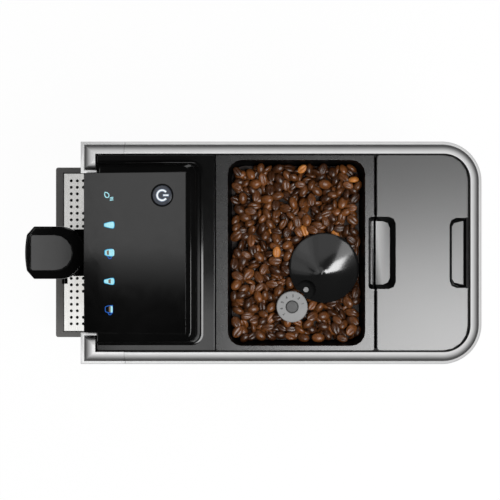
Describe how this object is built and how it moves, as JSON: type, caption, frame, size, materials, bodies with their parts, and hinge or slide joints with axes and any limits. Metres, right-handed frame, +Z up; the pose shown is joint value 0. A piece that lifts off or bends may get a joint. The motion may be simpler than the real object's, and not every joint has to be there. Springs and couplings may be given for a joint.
{
  "type": "bean to cup coffee machine",
  "caption": "Slim worktop coffee machine with a bean hopper and grinder, sloped touch panel, sliding spout, drip tray with grounds bin, lift-out water tank and service door.",
  "frame": {"origin": "on the worktop under the feet, in the middle of the machine's width and depth", "axes": "+Z up, -Y towards the user with the drip tray and the spout in front, +X to the user's right"},
  "size_m": [0.2244, 0.472, 0.3479],
  "materials": {
    "satin_silver": "satin",
    "gloss_black": "gloss",
    "satin_black": "satin",
    "graphite": "satin",
    "steel_plate": "brushed",
    "rubber": "matte",
    "smoke_plastic": "clear smoke",
    "inner_plastic": "matte",
    "bean_brown": "roasted, slightly oily",
    "burr_steel": "machined",
    "heater_metal": "cast",
    "board_green": "matte",
    "silicone": "satin",
    "button_grey": "gloss",
    "dial_grey": "satin"
  },
  "bodies": {
    "housing": {"top_rail": "satin_silver", "corner_cap_left": "satin_silver", "corner_cap_right": "satin_silver", "front_pillar_left": "satin_silver", "front_pillar_right": "satin_silver", "front_fascia": "gloss_black", "console_housing": "gloss_black", "control_panel": "gloss_black", "grinder_cover": "gloss_black", "base_pan": "satin_black", "rail_liner": "satin_black", "spout_guide": "satin_black", "bean_hopper": "satin_black", "front_cover": "satin_black", "hopper_surround": "satin_black", "side_panel_left": "satin_black", "side_panel_right": "satin_black", "rear_panel": "satin_black", "power_entry": "satin_black", "gearbox": "satin_black", "foot_front_left": "rubber", "foot_front_right": "rubber", "foot_rear_left": "rubber", "foot_rear_right": "rubber", "dock_seal": "rubber", "inner_deck": "inner_plastic", "brew_frame": "inner_plastic", "brew_chamber": "inner_plastic", "grind_chamber": "inner_plastic", "ground_chute": "inner_plastic", "tank_dock": "inner_plastic", "bean_load": "bean_brown", "grinder_motor": "burr_steel", "pump": "burr_steel", "flow_heater": "heater_metal", "display_board": "board_green", "power_board": "board_green", "brew_hose": "silicone", "pump_hose": "silicone", "tank_hose": "silicone", "pointer_screw": "dial_grey"},
    "tray": {"drip_tray": "graphite", "grounds_bin": "inner_plastic"},
    "grid": {"drip_grid": "steel_plate"},
    "spout": {"spout_body": "satin_black", "spout_cap": "gloss_black", "spout_inset": "graphite", "nozzle_block": "satin_black"},
    "button": {"power_button": "button_grey"},
    "dial": {"grind_dial": "dial_grey", "dial_pinion": "inner_plastic"},
    "carrier": {"burr_carrier": "inner_plastic", "upper_burr": "burr_steel"},
    "rotor": {"lower_burr": "burr_steel"},
    "piston": {"brew_piston": "satin_black"},
    "tank": {"water_tank": "smoke_plastic", "tank_valve": "satin_black"},
    "lid": {"tank_lid": "graphite"},
    "door": {"service_door": "satin_black"},
    "rocker": {"mains_switch": "satin_black"}
  },
  "joints": [
    {"name": "tray_slide", "type": "slide", "parent": "housing", "child": "tray", "axis": [0, -1, 0], "range_m": [0, 0.19]},
    {"name": "grid_lift", "type": "slide", "parent": "tray", "child": "grid", "axis": [0, 0, 1], "range_m": [0, 0.06]},
    {"name": "spout_slide", "type": "slide", "parent": "housing", "child": "spout", "axis": [0, 0, -1], "range_m": [0, 0.07]},
    {"name": "power_press", "type": "slide", "parent": "housing", "child": "button", "axis": [0, 0.1722, -0.9851], "range_m": [0, 0.0009], "stiffness_N_per_m": 800, "springref_m": -0.0005},
    {"name": "dial_turn", "type": "hinge", "parent": "housing", "child": "dial", "pos_m": [0.05437, 0.04482, 0.3153], "axis": [0, 0, 1], "range_deg": [-60, 60]},
    {"name": "carrier_turn", "type": "hinge", "parent": "housing", "child": "carrier", "pos_m": [0.0153, 0.0776, 0.2562], "axis": [0, 0, 1], "range_deg": [-15.5, 15.5]},
    {"name": "burr_spin", "type": "hinge", "parent": "housing", "child": "rotor", "pos_m": [0.0153, 0.0776, 0.25], "axis": [0, 0, 1], "continuous": true},
    {"name": "piston_rise", "type": "slide", "parent": "housing", "child": "piston", "axis": [0, 0, 1], "range_m": [0, 0.028]},
    {"name": "tank_lift", "type": "slide", "parent": "housing", "child": "tank", "axis": [0, 0, 1], "range_m": [0, 0.24]},
    {"name": "lid_lift", "type": "slide", "parent": "tank", "child": "lid", "axis": [0, 0, 1], "range_m": [0, 0.06]},
    {"name": "door_swing", "type": "hinge", "parent": "housing", "child": "door", "pos_m": [0.1107, 0.0066, 0.1803], "axis": [0, 0, 1], "range_deg": [0, 90]},
    {"name": "switch_rock", "type": "hinge", "parent": "housing", "child": "rocker", "pos_m": [0.022, 0.23014, 0.034], "axis": [1, 0, 0], "range_deg": [0, 14]}
  ],
  "couplings": [
    {"joint": "dial_turn", "follows": "carrier_turn", "ratio": -3.8571}
  ]
}
